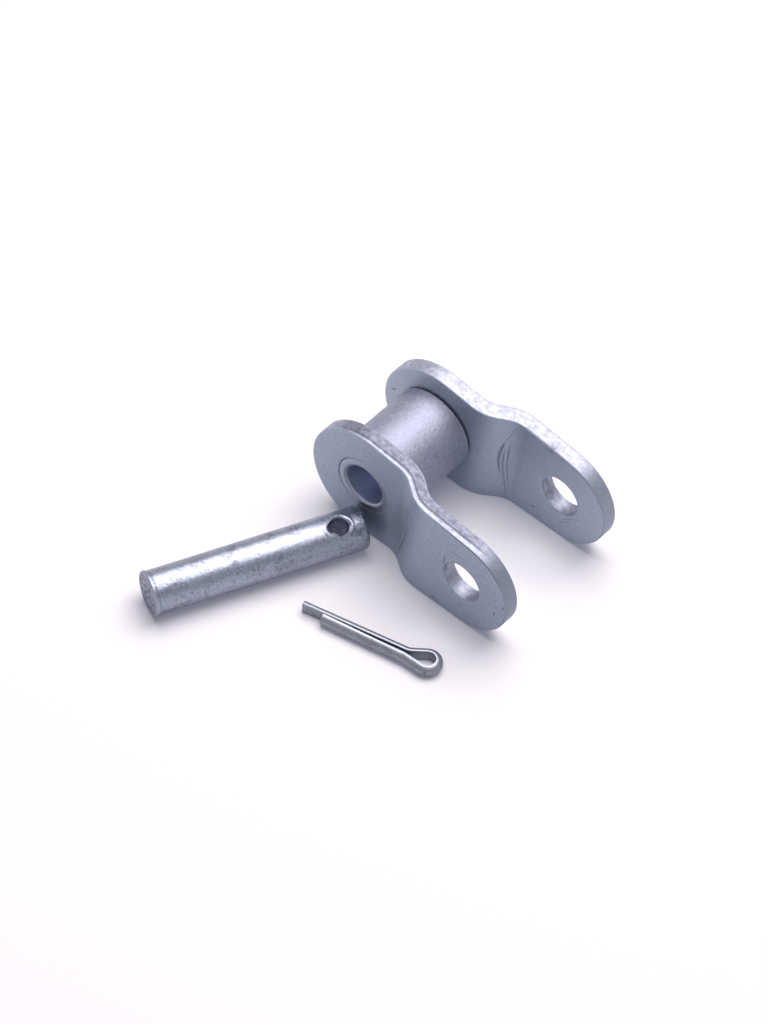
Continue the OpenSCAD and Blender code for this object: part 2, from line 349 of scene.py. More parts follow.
# %% Roller
ROLLER_FIT = 0.08
ROLLER_EDGE = 0.3
ROLLER_BORE_EDGE = 0.25
ROLLER_SHINE = 0.7
roller_bore_r = bush_r + ROLLER_FIT
roller_middle_r = (bush_r + roller_r) / 2
shine_from = roller_half - ROLLER_SHINE
roller = turned([
    (-roller_half, roller_bore_r), (-roller_half, roller_r), (-shine_from, roller_r), (shine_from, roller_r),
    (roller_half, roller_r), (roller_half, roller_bore_r)], closed=True, steps=160)
round_corners(roller, ROLLER_EDGE, 6, lambda p: math.hypot(p.y, p.z) > roller_middle_r)
round_corners(roller, ROLLER_BORE_EDGE, 3, lambda p: math.hypot(p.y, p.z) < roller_middle_r)
burnished = roller.verts.layers.float.new("rubbed_and_lit")
for v in roller.verts:
    at_rim = math.hypot(v.co.y, v.co.z) > roller_r - ROLLER_EDGE
    v[burnished] = float(at_rim and abs(v.co.x) > shine_from + TOUCH)
bmesh.ops.rotate(roller, cent=(0, 0, 0), matrix=ALONG_Y, verts=roller.verts)
finish_piece(roller, "roller_ring", "roller", "roller", roller_steel)

# %% [markdown]
# ## Bush
# The bush is a tube that is pressed through both plates, flush with their outer faces. Its bore is
# chamfered at both ends, and the chamfer shows as a bright crescent at the bottom of the bore. Outside,
# the round of the bush and the break of the plate's hole leave a groove between them. The press has
# closed most of it, so it is open only towards the plate's narrow end.

# %% Bush
BUSH_CHAMFER = 0.5
BUSH_CHAMFER_SLOPE = math.radians(32)
BUSH_CHAMFER_EDGE = 0.1
BUSH_ROUND = 0.3
SEAT_OPEN_AT = math.radians(165)
SEAT_OPEN_SPAN = math.radians(75)
SEAT_FADE = math.radians(40)
SEAT_CLOSED = 0.3
bush_middle_r = (bush_bore_r + bush_r) / 2
chamfer_r = bush_bore_r + BUSH_CHAMFER
chamfer_at = bush_half - BUSH_CHAMFER * math.tan(BUSH_CHAMFER_SLOPE)


def seat_gap(x, z):
    """How far the groove is open at a place round the bush."""
    off = abs(math.remainder(math.atan2(z, x) - SEAT_OPEN_AT, math.tau))
    share = max(0.0, min(1.0, (SEAT_OPEN_SPAN - off) / SEAT_FADE + 0.5))
    return SEAT_CLOSED + (1 - SEAT_CLOSED) * share


bush = turned([
    (-chamfer_at, bush_bore_r), (-bush_half, chamfer_r), (-bush_half, bush_r), (bush_half, bush_r),
    (bush_half, chamfer_r), (chamfer_at, bush_bore_r)], closed=True, steps=128)
round_corners(bush, BUSH_CHAMFER_EDGE, 2, lambda p: math.hypot(p.y, p.z) < bush_middle_r)
round_corners(bush, BUSH_ROUND, 4, lambda p: math.hypot(p.y, p.z) > bush_middle_r)
bmesh.ops.rotate(bush, cent=(0, 0, 0), matrix=ALONG_Y, verts=bush.verts)
# The bore is reamed, and its lighter colour is partly painted light against the shade inside it
reamed_and_lit = bush.verts.layers.float.new("rubbed_and_lit")
for v in bush.verts:
    r = math.hypot(v.co.x, v.co.z)
    v[reamed_and_lit] = float(r < bush_bore_r + NEAR)
    if r > bush_r - BUSH_ROUND - TOUCH and abs(v.co.y) > bush_half - BUSH_ROUND - TOUCH:
        gap = seat_gap(v.co.x, v.co.z)
        v.co.y = math.copysign(bush_half - gap * (bush_half - abs(v.co.y)), v.co.y)
        v.co.xz *= (bush_r - gap * (bush_r - r)) / r
finish_piece(bush, "bush_sleeve", "bush", "link", bush_steel)

# %% [markdown]
# ## Cranked plates
# A plate is blanked from strip, pierced, and bent twice in a press. The model follows the same order.
# The outline is two arcs made by spinning one vertex each, joined by their common tangents. The two
# holes are circles. A fill makes a flat face between them, solidify gives it the strip's thickness, and
# bevels round the tumbled edges and the rims of the holes.

# %% Flat blank
PLATE_EDGE = 0.3
HOLE_BREAK = 0.25
LOBE_STEPS = 72
HOLE_STEPS = 96
plate_holes = ((0.0, bush_r), (pitch, pin_hole_r))


def half_height(x):
    """Half the height of the outline between its two ends."""
    return (bush_end_r - x * math.sin(flank)) / math.cos(flank)


def at_hole(p):
    return any(math.hypot(p.x - x, p.z) < r + 2 * HOLE_BREAK for x, r in plate_holes)


def flat_blank():
    """The pierced blank with rounded edges: pitch line on X, thickness on Y, outer face towards +Y."""
    bm = bmesh.new()
    ends = []
    for centre, radius, up, sweep in ((0.0, bush_end_r, 1, math.pi + 2 * flank),
                                      (pitch, pin_end_r, -1, math.pi - 2 * flank)):
        tangent = Vector((math.sin(flank), 0, up * math.cos(flank)))
        first = bm.verts.new(Vector((centre, 0, 0)) + radius * tangent)
        arc = bmesh.ops.spin(bm, geom=[first], cent=(centre, 0, 0), axis=(0, -1, 0), angle=sweep,
                             steps=LOBE_STEPS)
        ends.append((first, next(v for v in arc["geom_last"] if isinstance(v, bmesh.types.BMVert))))
    bm.edges.new((ends[0][1], ends[1][0]))
    bm.edges.new((ends[1][1], ends[0][0]))
    for x, r in plate_holes:
        across = Matrix.Translation((x, 0, 0)) @ Matrix.Rotation(math.pi / 2, 4, "X")
        bmesh.ops.create_circle(bm, cap_ends=False, segments=HOLE_STEPS, radius=r, matrix=across)
    bmesh.ops.triangle_fill(bm, use_beauty=True, use_dissolve=False, edges=bm.edges, normal=(0, 1, 0))
    bmesh.ops.solidify(bm, geom=bm.faces, thickness=plate_t)
    bmesh.ops.recalc_face_normals(bm, faces=bm.faces)
    middle = sum(v.co.y for v in bm.verts) / len(bm.verts)
    bmesh.ops.translate(bm, vec=(0, -middle, 0), verts=bm.verts)
    round_corners(bm, PLATE_EDGE, 4, lambda p: not at_hole(p))
    round_corners(bm, HOLE_BREAK, 3, lambda p: at_hole(p) and p.x > pitch / 2)
    round_corners(bm, BUSH_ROUND, 4, lambda p: at_hole(p) and p.x < pitch / 2)
    for v in bm.verts:
        r = math.hypot(v.co.x, v.co.z)
        if r < bush_r + BUSH_ROUND + TOUCH and v.co.y > plate_t / 2 - BUSH_ROUND - TOUCH:
            gap = seat_gap(v.co.x, v.co.z)
            v.co.y = plate_t / 2 - gap * (plate_t / 2 - v.co.y)
            v.co.xz *= (bush_r + gap * (r - bush_r)) / r
    return bm


trial = flat_blank()
print(f"flat blank: {len(trial.faces)} faces, {max(v.co.y for v in trial.verts) * 2:.2f} mm thick")
trial.free()

# %% [markdown]
# The blank needs more edges where it will change: across the two bends, where the press tool has left
# creases, and along the sheared edge. Cutting planes put them there without moving the surface.

# %% Cuts for the bends and the marks
CRANK_AT = 11.5
CRANK_ANGLE = math.radians(36)
BEND_R = 5.5
BEND_STEPS = 10
mid_r = BEND_R + plate_t / 2
slope_l = (crank_step - 2 * mid_r * (1 - math.cos(CRANK_ANGLE))) / math.sin(CRANK_ANGLE)
crank_run = 2 * mid_r * math.sin(CRANK_ANGLE) + slope_l * math.cos(CRANK_ANGLE)
bend_start = CRANK_AT - crank_run / 2
bend_end = CRANK_AT + crank_run / 2

CREASE_ZONE = (10.2, 14.4)
CREASE_GRID = 0.12
CREASE_ROWS = 0.7
TEAR_AT = 0.72
TEAR_SLOPE = -0.0175
TEAR_ENDS = (-6.0, 28.0)
TEAR_WIDTH = 0.22
TEAR_CUTS = 3
EDGE_GRID = 0.5
FACE_GRID = 2.0
# The face grid runs past every edge of the blank, its rows shifted to lie even about the pitch line
FACE_COLUMNS = range(-6, 19)
FACE_ROW_SHIFT = 6


def parts_of(faces):
    """The faces with their edges and corners, as a cut takes them."""
    return [*faces, *{e for f in faces for e in f.edges}, *{v for f in faces for v in f.verts}]


def slice_at(bm, parts, place, normal):
    """Cuts the parts with a plane that leaves both halves joined, and returns them with the new ones."""
    return bmesh.ops.bisect_plane(bm, geom=parts, dist=CUT_TOUCH, plane_co=place, plane_no=normal)["geom"]


def rim_faces(bm):
    """The faces of the sheared outline, without the walls of the holes."""
    bm.normal_update()
    return [f for f in bm.faces if abs(f.normal.y) < 0.1 and not at_hole(f.calc_center_median())]


def side_faces(bm):
    """The flat outer and inner faces."""
    bm.normal_update()
    return [f for f in bm.faces if abs(f.normal.y) > 0.99]


def cut_for_marks(bm):
    """Cuts the blank across its bends, in its crease zone and round its edge."""
    turns = [mid_r * math.sin(CRANK_ANGLE * i / BEND_STEPS) for i in range(BEND_STEPS + 1)]
    stations = [bend_start + t for t in turns] + [bend_end - t for t in turns]
    columns = int((CREASE_ZONE[1] - CREASE_ZONE[0]) / CREASE_GRID)
    stations += [CREASE_ZONE[0] + CREASE_GRID * i for i in range(columns + 1)]
    whole = parts_of(bm.faces[:])
    for x in stations:
        whole = slice_at(bm, whole, (x, 0, 0), (1, 0, 0))
    sides = parts_of(side_faces(bm))
    for i in FACE_COLUMNS:
        sides = slice_at(bm, sides, (FACE_GRID * i, 0, 0), (1, 0, 0))
        sides = slice_at(bm, sides, (0, 0, FACE_GRID * (i - FACE_ROW_SHIFT)), (0, 0, 1))
    zone = parts_of([f for f in bm.faces if CREASE_ZONE[0] < f.calc_center_median().x < CREASE_ZONE[1]])
    rows = int(bush_end_r / CREASE_ROWS)
    for i in range(-rows, rows + 1):
        zone = slice_at(bm, zone, (0, 0, CREASE_ROWS * i), (0, 0, 1))
    rim = parts_of(rim_faces(bm))
    for i in range(-TEAR_CUTS, TEAR_CUTS + 1):
        rim = slice_at(bm, rim, (0, TEAR_AT + i * TEAR_WIDTH / 2, 0), (-TEAR_SLOPE, 1, 0))
    low, high = -bush_end_r, pitch + pin_end_r
    for i in range(1, int((high - low) / EDGE_GRID)):
        rim = slice_at(bm, rim, (low + i * EDGE_GRID, 0, 0), (1, 0, 0))


print(f"bends from {bend_start:.2f} to {bend_end:.2f} mm along the pitch line")

# %% [markdown]
# The press tool has a rounded nose, so its creases are bowed lines: three close together on the inner
# face, where the metal was stretched over the tool, and a single deeper one on the outer face. Each is a
# shallow groove, darkened with painted shade, and it fades towards its ends. The sheared edge is smooth
# next to the outer face, where the punch went in. The rest of the thickness has torn off, and an uneven
# line with painted shade divides the two. Painted shade also darkens the rim towards the narrow tip,
# and a line along its upper outer corner there.

# %% Marks of the press and the shear
CREASE_DEPTH = 0.17
CREASE_WIDTH = 0.17
# Painted shade in the groove of a crease
CREASE_PAINTED_SHADE = 0.5
CREASE_FADE = 2.0
TEAR_DEPTH = 0.07
TEAR_WOBBLE = 0.12
TEAR_FADE = 5.0
# Painted shade in the groove of the tear line
TEAR_PAINTED_SHADE = 0.8
TORN_DEPTH = 0.04
TORN_GRAIN = 0.9
TORN_EVEN = 0.6
TORN_UNEVEN = 0.4
# Towards the narrow tip the rim turns away from the soft box, and painted shade darkens it there
TIP_AT = 27.5
TIP_FADE = 3.0
TIP_PAINTED_SHADE = 0.38
# A painted shade line along the upper outer corner of the rim near the tip
CORNER_PAINTED_SHADE = 0.55
CORNER_SHADE_ENDS = (23.0, 34.0)
CORNER_SHADE_FADE = 3.0
CORNER_SHADE_BAND = 0.1

# Each crease: face (-1 inner, 1 outer), place along X, height of its nose, bow, lower and upper end, share
creases = (
    (-1, 11.72, 0.3, 0.03, -3.6, 4.6, 1.0),
    (-1, 11.72, 0.3, 0.03, 4.6, 9.9, 0.4),
    (-1, 12.4, 1.0, 0.018, -9.2, 2.2, 0.75),
    (-1, 13.2, 1.5, 0.016, -6.2, 4.4, 0.65),
    (1, 12.38, 2.0, -0.017, -7.8, 5.5, 1.2),
)


def fade(value, low, high, over):
    """1 between low and high, falling to 0 outside them over a length."""
    return max(0.0, min(1.0, (value - low) / over + 0.5, (high - value) / over + 0.5))


def press_marks(bm, torn_share, bore_torn):
    """Presses in the tear line and the creases, and says where metal is rubbed or torn, and where painted
    shade darkens it.
    """
    rubbed_and_lit = bm.verts.layers.float.new("rubbed_and_lit")
    torn = bm.verts.layers.float.new("torn")
    dirt_and_shade = bm.verts.layers.float.new("dirt_and_shade")
    bm.normal_update()
    for v in bm.verts:
        if at_hole(v.co):
            v[rubbed_and_lit] = float(v.co.x > pitch / 2 and abs(v.co.y) < plate_t / 2 - HOLE_BREAK + TOUCH)
            v[torn] = bore_torn * v[rubbed_and_lit]
            continue
        tip = max(0.0, min(1.0, (v.co.x - TIP_AT) / TIP_FADE))
        if abs(v.co.y) > plate_t / 2 - TOUCH:
            continue
        if abs(v.co.y) > plate_t / 2 - PLATE_EDGE + TOUCH:
            # Painted shade on the rounded corner towards the tip
            v[dirt_and_shade] = TIP_PAINTED_SHADE * tip
            # A painted shade line along the upper outer corner
            if v.co.z > 0 and v.co.y > plate_t / 2 - CORNER_SHADE_BAND:
                line = fade(v.co.x, *CORNER_SHADE_ENDS, CORNER_SHADE_FADE)
                v[dirt_and_shade] = max(v[dirt_and_shade], CORNER_PAINTED_SHADE * line * torn_share)
            continue
        off = (v.co.y - TEAR_AT - TEAR_SLOPE * v.co.x) / TEAR_WIDTH
        share = torn_share * fade(v.co.x, *TEAR_ENDS, TEAR_FADE)
        tear = share * math.exp(-off * off)
        v[rubbed_and_lit] = 1 - tip
        v[torn] = share * max(0.0, min(1.0, 0.5 - off))
        # Painted shade in the tear groove, and on the rim towards the tip
        v[dirt_and_shade] = max(TEAR_PAINTED_SHADE * tear, TIP_PAINTED_SHADE * tip)
        grain = TORN_EVEN + TORN_UNEVEN * noise.noise(v.co / TORN_GRAIN)
        v.co -= Vector((v.normal.x, 0, v.normal.z)) * grain * (TEAR_DEPTH * tear + TORN_DEPTH * v[torn])
        v.co.y += TEAR_WOBBLE * tear * noise.noise(v.co / TORN_GRAIN)
    for face, x, nose, bow, low, high, share in creases:
        for v in bm.verts:
            if abs(v.co.y - face * plate_t / 2) < TOUCH:
                off = (v.co.x - x - bow * (v.co.z - nose) ** 2) / CREASE_WIDTH
                deep = share * math.exp(-off * off) * fade(v.co.z, low, high, CREASE_FADE)
                v.co.y -= face * CREASE_DEPTH * deep
                # Painted shade in the crease's groove
                v[dirt_and_shade] = max(v[dirt_and_shade], CREASE_PAINTED_SHADE * deep)


print(len(creases), "creases, and a tear line", TEAR_DEPTH, "mm deep")

# %% [markdown]
# Handling has left a few dents and scratches. Each is cut finely where it lies and then pressed in, and
# painted shade in it makes it darker. The rim of the far plate also has a nick, with painted shade in it.

# %% Handling marks
# Painted shade in dents and scratches, darker in deeper ones
DENT_PAINTED_SHADE = 0.7
DENT_DEEP = 0.1
NICK_SIZE = 0.5
# Painted shade in the nick
NICK_PAINTED_SHADE = 0.6
NICK_CUTS = 2
# Cuts through a mark: their step as a share of its width or length, and how many lie on each side
CUTS_ACROSS = (0.7, 3)
CUTS_ALONG = (0.3, 2)

# Each mark: face (-1 inner, 1 outer), place along X and Z, turn in degrees, length, width, depth
handling = {
    "near_plate": ((1, 33.1, -1.6, 80, 0.9, 0.13, 0.12), (1, 34.7, 1.5, 75, 0.8, 0.13, 0.1),
                   (1, 20.3, -9.5, 15, 1.2, 0.16, 0.1), (1, 23.7, 6.0, 1, 2.4, 0.13, 0.07),
                   (1, 21.3, 2.5, 83, 2.4, 0.13, 0.07), (-1, 30.0, 6.0, 30, 1.5, 0.12, 0.08)),
    "far_plate": ((-1, 28.7, -3.7, 40, 4.2, 0.1, 0.05), (-1, 27.4, -5.6, 35, 2.4, 0.1, 0.05),
                  (-1, -9.8, 1.1, 35, 1.0, 0.14, 0.1), (-1, 20.5, -7.6, 20, 0.8, 0.14, 0.1),
                  (1, 18.0, 5.0, 70, 1.6, 0.12, 0.08)),
}
# Each nick: place along X, face
nicks = {"near_plate": (), "far_plate": ((22.15, -1),)}


def handle(bm, marks, rim_nicks):
    """Presses in the dents and scratches of the faces and the nicks of the rim."""
    dirt_and_shade = bm.verts.layers.float["dirt_and_shade"]
    for face, x, z, turn, length, width, depth in marks:
        place = Vector((x, face * plate_t / 2, z))
        run = Vector((math.cos(math.radians(turn)), 0, math.sin(math.radians(turn))))
        side = run.cross(Vector((0, 1, 0)))
        zone = parts_of([f for f in side_faces(bm)
                         if (f.calc_center_median() - place).length < length / 2 + FACE_GRID])
        for cut, size, (step, count) in ((side, width, CUTS_ACROSS), (run, length, CUTS_ALONG)):
            for i in range(-count, count + 1):
                zone = slice_at(bm, zone, place + cut * (step * size) * i, cut)
        for v in bm.verts:
            if abs(v.co.y - place.y) < TOUCH:
                off = (v.co - place).dot(side) / width
                by = (v.co - place).dot(run)
                deep = math.exp(-off * off) * fade(by, -length / 2, length / 2, length / 3)
                v.co.y -= face * depth * deep
                # Painted shade in the dent
                v[dirt_and_shade] = max(v[dirt_and_shade], DENT_PAINTED_SHADE * deep * min(1.0, depth / DENT_DEEP))
    for x, face in rim_nicks:
        top = half_height(x)
        whole = parts_of(bm.faces[:])
        for i in range(-NICK_CUTS, NICK_CUTS + 1):
            whole = slice_at(bm, whole, (x + NICK_SIZE / NICK_CUTS * i, 0, 0), (1, 0, 0))
        for v in bm.verts:
            off = (v.co - Vector((x, face * plate_t / 2, top))).length / NICK_SIZE
            deep = math.exp(-off * off)
            v.co.z -= NICK_SIZE * deep
            # Painted shade in the nick
            v[dirt_and_shade] = max(v[dirt_and_shade], NICK_PAINTED_SHADE * deep)


print(sum(len(marks) for marks in handling.values()), "dents and scratches")

# %% [markdown]
# Bending moves each vertex. Its place along the pitch line says where on the plate's middle line it is
# and which way that line heads there, and its depth is then measured square to that heading. So the
# inside of a bend shortens and the outside stretches, as it does in the press. The flanks are trimmed
# straight after it, so the height follows the outline again.


# %% Bending and placing the plates
def bend(bm):
    """Bends the blank into its crank."""
    slope_at = mid_r * math.sin(CRANK_ANGLE)
    for v in bm.verts:
        x, y = v.co.x, v.co.y
        if x <= bend_start:
            step, heading = 0.0, 0.0
        elif x >= bend_end:
            step, heading = crank_step, 0.0
        elif x < bend_start + slope_at:
            heading = math.asin((x - bend_start) / mid_r)
            step = mid_r * (1 - math.cos(heading))
        elif x > bend_end - slope_at:
            heading = math.asin((bend_end - x) / mid_r)
            step = crank_step - mid_r * (1 - math.cos(heading))
        else:
            heading = CRANK_ANGLE
            step = crank_step / 2 + (x - CRANK_AT) * math.tan(heading)
        v.co.x = x - y * math.sin(heading)
        v.co.y = step + y * math.cos(heading)
        v.co.z *= half_height(v.co.x) / half_height(x)


# Each plate: side, node, share of the tear line, how torn its pin hole is, steel
for side, node, torn_share, bore_torn, steel in (
        (-1, "near_plate", 1.0, 0.15, near_steel), (1, "far_plate", 0.05, 0.43, far_steel_painted_lighter)):
    plate = flat_blank()
    cut_for_marks(plate)
    press_marks(plate, torn_share, bore_torn)
    handle(plate, handling[node], nicks[node])
    bend(plate)
    bmesh.ops.translate(plate, vec=(0, bush_half - plate_t / 2, 0), verts=plate.verts)
    bmesh.ops.scale(plate, vec=(1, side, 1), verts=plate.verts)
    bmesh.ops.recalc_face_normals(plate, faces=plate.faces)
    tilt = Matrix.Rotation(link_tilt, 3, "Y")
    bmesh.ops.rotate(plate, cent=(0, 0, 0), matrix=tilt, verts=plate.verts)
    finish_piece(plate, node + "_pressing", node, "link", steel)

# %% [markdown]
# ## Connecting pin
# The pin is turned bar. Its plain end is upset into a low rim that stops in the plate, and the end face
# is a little dished, rough and dirty. A painted shade darkens the foot of the rim. Near the other end a
# hole for the cotter goes across it, with rounded lips and the burr that the drill pushed up round it.
# The bar is spun, cut finely round the hole, drilled with a Boolean modifier, and then the vertices
# round the hole are lifted into the burr.

# %% Pin sizes
PIN_R = 3.97
PIN_L = 40.0
PIN_RIM_H = 0.2
PIN_RIM_L = 0.5
PIN_DISH = 0.35
PIN_BEVEL = 0.6
HOLE_FROM_END = 5.0
COUNTERSINK = 0.65
LOWER_LIP = 1.0
LIP_STEPS = 9
END_RINGS = 24
END_GRAIN = 0.55
END_ROUGH = 0.2
END_DIRT = 0.6
RIM_FOOT = PIN_RIM_L + 2 * PIN_RIM_H
# Painted shade at the foot of the rim
RIM_FOOT_PAINTED_SHADE = 0.4
BURR_HEIGHT = 0.1
BURR_WIDTH = 0.22
BURR_GRID = 0.25
BURR_CUTS = 13
BURR_SKIN = 0.05
BURR_REACH = 2
cotter_hole = mounts["cotter_hole"]
cotter_hole_r = cotter_hole["dims"]["r_mm"]
hole_x = PIN_L - HOLE_FROM_END
print(f"cotter hole {2 * cotter_hole_r:.2f} mm across, {HOLE_FROM_END} mm from the end")


# %% Drilling the pin
def drilled(bar, drill):
    """The bar less the drill. Both are made objects for the Boolean modifier and then removed."""
    made = []
    for bm, name in ((bar, "bar"), (drill, "drill")):
        mesh = bpy.data.meshes.new(name)
        bm.to_mesh(mesh)
        bm.free()
        made.append(bpy.data.objects.new(name, mesh))
        bpy.context.scene.collection.objects.link(made[-1])
    cut = made[0].modifiers.new("drill", "BOOLEAN")
    cut.operation = "DIFFERENCE"
    cut.solver = "EXACT"
    cut.object = made[1]
    result = bmesh.new()
    result.from_object(made[0], bpy.context.evaluated_depsgraph_get())
    for obj in made:
        bpy.data.objects.remove(obj)
    return result


end_face = [(PIN_DISH * (1 - i / END_RINGS), i * (PIN_R - PIN_BEVEL / 2) / END_RINGS)
            for i in range(END_RINGS + 1)]
bar = turned([
    *end_face, (0, PIN_R), (PIN_RIM_H, PIN_R + PIN_RIM_H), (PIN_RIM_L, PIN_R + PIN_RIM_H), (RIM_FOOT, PIN_R),
    (RIM_FOOT + PIN_RIM_H, PIN_R), (PIN_L, PIN_R), (PIN_L, 0)], closed=False, steps=144)
round_corners(bar, PIN_BEVEL, 5, lambda p: p.x > PIN_L / 2)
whole = parts_of(bar.faces[:])
for i in range(-BURR_CUTS, BURR_CUTS + 1):
    whole = slice_at(bar, whole, (hole_x + BURR_GRID * i, 0, 0), (1, 0, 0))
reach = 2 * PIN_R
lips = [(side * (PIN_R - lip + lip * math.sin(turn)), cotter_hole_r + lip * (1 - math.cos(turn)))
        for side, lip, turns in ((-1, COUNTERSINK, range(LIP_STEPS, -1, -1)),
                                 (1, LOWER_LIP, range(LIP_STEPS + 1)))
        for turn in (math.pi / (2 * LIP_STEPS) * i for i in turns)]
drill = turned([
    (-reach, 0), (-reach, cotter_hole_r + COUNTERSINK), *lips, (reach, cotter_hole_r + LOWER_LIP),
    (reach, 0)], closed=False, steps=72)
upright = Matrix.Rotation(math.pi / 2, 3, "Y")
bmesh.ops.rotate(drill, cent=(0, 0, 0), matrix=upright, verts=drill.verts)
bmesh.ops.translate(drill, vec=(hole_x, 0, 0), verts=drill.verts)
pin = drilled(bar, drill)
bmesh.ops.dissolve_degenerate(pin, dist=TOUCH, edges=pin.edges)
for v in pin.verts:
    from_hole = math.hypot(v.co.x - hole_x, v.co.y)
    on_skin = v.co.z > 0 and math.hypot(v.co.y, v.co.z) > PIN_R - BURR_SKIN
    if on_skin and from_hole < cotter_hole_r + BURR_REACH:
        off = (from_hole - cotter_hole_r - COUNTERSINK - BURR_WIDTH / 2) / BURR_WIDTH
        lift = 1 + BURR_HEIGHT / PIN_R * math.exp(-off * off)
        v.co.y *= lift
        v.co.z *= lift
dirt_and_shade = pin.verts.layers.float.new("dirt_and_shade")
for v in pin.verts:
    r = math.hypot(v.co.y, v.co.z)
    if v.co.x < PIN_DISH + NEAR and r < PIN_R - PIN_BEVEL / 2 - NEAR:
        rough = max(0.0, min(1.0, 0.5 + noise.noise(v.co / END_GRAIN)))
        v.co.x += END_ROUGH * rough
        v[dirt_and_shade] = END_DIRT * rough
    # A ring of painted shade at the foot of the rim
    if abs(v.co.x - RIM_FOOT) < NEAR:
        v[dirt_and_shade] = RIM_FOOT_PAINTED_SHADE
print(f"drilled pin: {len(pin.faces)} faces")

# %% [markdown]
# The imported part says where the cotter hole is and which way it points. The pin's own direction is
# square to that, so these two set the pin on the floor beside the near plate.

# %% Placing the pin
up = Vector(cotter_hole["axis"]).normalized()
rest_tilt = math.asin(PIN_RIM_H / PIN_L)
level = Vector((math.cos(math.radians(pin_yaw)), math.sin(math.radians(pin_yaw)), 0))
along = (level * math.cos(rest_tilt) - Vector((0, 0, math.sin(rest_tilt)))).normalized()
across = up.cross(along).normalized()
turn = Matrix((along, across, along.cross(across))).transposed()
bmesh.ops.translate(pin, vec=(-hole_x, 0, 0), verts=pin.verts)
bmesh.ops.rotate(pin, cent=(0, 0, 0), matrix=turn, verts=pin.verts)
bmesh.ops.translate(pin, vec=Vector(cotter_hole["pos_m"]) / MM, verts=pin.verts)
finish_piece(pin, "connecting_pin_bar", "connecting_pin", "link", pin_steel)

# %% [markdown]
# ## Split cotter
# The cotter is one length of half-round wire, bent back on itself with the flats together. It starts as
# half of a disc at the tip of the long leg. Extruding makes the straight stretches and spinning makes
# the bends: out at the neck, round the eye, in at the other neck, and back along the short leg.

# %% Cotter sizes
COTTER_R = 1.225
LEG_L = 20.05
LEG_STEP = 4.2
LEG_SPLAY = math.radians(0.7)
LEG_GAP = 0.3
EYE_R = 1.5
LONG_NECK = math.radians(26.8)
SHORT_NECK = math.radians(9.7)
NECK_R = 2.5
COTTER_X = 23.2
NECK_FROM_X = 1.15
COTTER_GAP = 13.1
WIRE_EDGE = 0.28
TIP_EDGE = 0.1
TIP_REACH = 0.1
FLAT_BACK = 0.13
TOP_WEAR_AND_HIGHLIGHT = 0.08
WEAR_AND_HIGHLIGHT_GAIN = 1.6
WIRE_STEPS = 32
NECK_STEPS = 6
EYE_STEPS = 44
tips = (-LEG_L, LEG_STEP - LEG_L)
neck_gap = LEG_GAP / 2 + (LEG_L - LEG_STEP) * math.sin(LEG_SPLAY)


def neck_end(turn):
    """Where the flat of a neck has bent out to a heading, on the side of the long leg."""
    return Vector((NECK_R * (math.sin(turn) - math.sin(LEG_SPLAY)),
                   neck_gap + NECK_R * (math.cos(LEG_SPLAY) - math.cos(turn)), 0))


def reach_of(turn):
    """How far the line of a neck passes outside an eye that is centred on the neck's start."""
    end = neck_end(turn)
    return end.y * math.cos(turn) - end.x * math.sin(turn) - EYE_R


spread = math.sin(LONG_NECK + SHORT_NECK)
eye = Vector((
    -(reach_of(LONG_NECK) * math.cos(SHORT_NECK) + reach_of(SHORT_NECK) * math.cos(LONG_NECK)) / spread,
    (reach_of(LONG_NECK) * math.sin(SHORT_NECK) - reach_of(SHORT_NECK) * math.sin(LONG_NECK)) / spread, 0))
print(f"eye centre {eye.x:.2f} mm beyond the neck, {eye.y:.2f} mm off the middle line")


# %% Bending the wire
def heading(turn):
    """The direction at an angle from X, in the plane of the wire."""
    return Vector((math.cos(turn), math.sin(turn), 0))


def tip_of(faces):
    return next(f for f in faces if isinstance(f, bmesh.types.BMFace))


def drop_inner(bm, face):
    """The face that was extruded stays inside the wire, except at the very tip, and is deleted."""
    if len(face.edges[0].link_faces) > 2:
        bmesh.ops.delete(bm, geom=[face], context="FACES_ONLY")


def straight(bm, tip, step):
    made = bmesh.ops.extrude_face_region(bm, geom=[tip])["geom"]
    bmesh.ops.translate(bm, vec=step, verts=[v for v in made if isinstance(v, bmesh.types.BMVert)])
    drop_inner(bm, tip)
    return tip_of(made)


def bent(bm, tip, centre, turn, steps):
    made = bmesh.ops.spin(bm, geom=[tip], cent=centre, axis=(0, 0, 1), angle=turn, steps=steps)
    drop_inner(bm, tip)
    return tip_of(made["geom_last"])


def run_to_eye(turn):
    """Straight length between a neck and the eye that it runs into."""
    start = neck_end(turn)
    centre = Vector((eye.x, eye.y if turn == LONG_NECK else -eye.y, 0))
    return (centre + EYE_R * heading(turn + math.pi / 2) - start).length


def at_tip(p):
    return min(abs(p.x - tip_x) for tip_x in tips) < TIP_REACH


wire = bmesh.new()
bmesh.ops.create_circle(wire, cap_ends=True, segments=WIRE_STEPS, radius=COTTER_R,
                        matrix=Matrix.Rotation(math.pi / 2, 4, "Y"))
bmesh.ops.bisect_plane(wire, geom=wire.verts[:] + wire.edges[:] + wire.faces[:], dist=CUT_TOUCH,
                       plane_co=(0, -FLAT_BACK, 0), plane_no=(0, 1, 0), clear_inner=True)
bmesh.ops.rotate(wire, cent=(0, 0, 0), matrix=Matrix.Rotation(LEG_SPLAY, 3, "Z"), verts=wire.verts)
bmesh.ops.translate(wire, vec=Vector((0, neck_gap, 0)) - LEG_L * heading(LEG_SPLAY), verts=wire.verts)
tip = straight(wire, wire.faces[:][0], LEG_L * heading(LEG_SPLAY))
neck_centre = Vector((0, neck_gap, 0)) + NECK_R * heading(LEG_SPLAY + math.pi / 2)
tip = bent(wire, tip, neck_centre, LONG_NECK - LEG_SPLAY, NECK_STEPS)
tip = straight(wire, tip, run_to_eye(LONG_NECK) * heading(LONG_NECK))
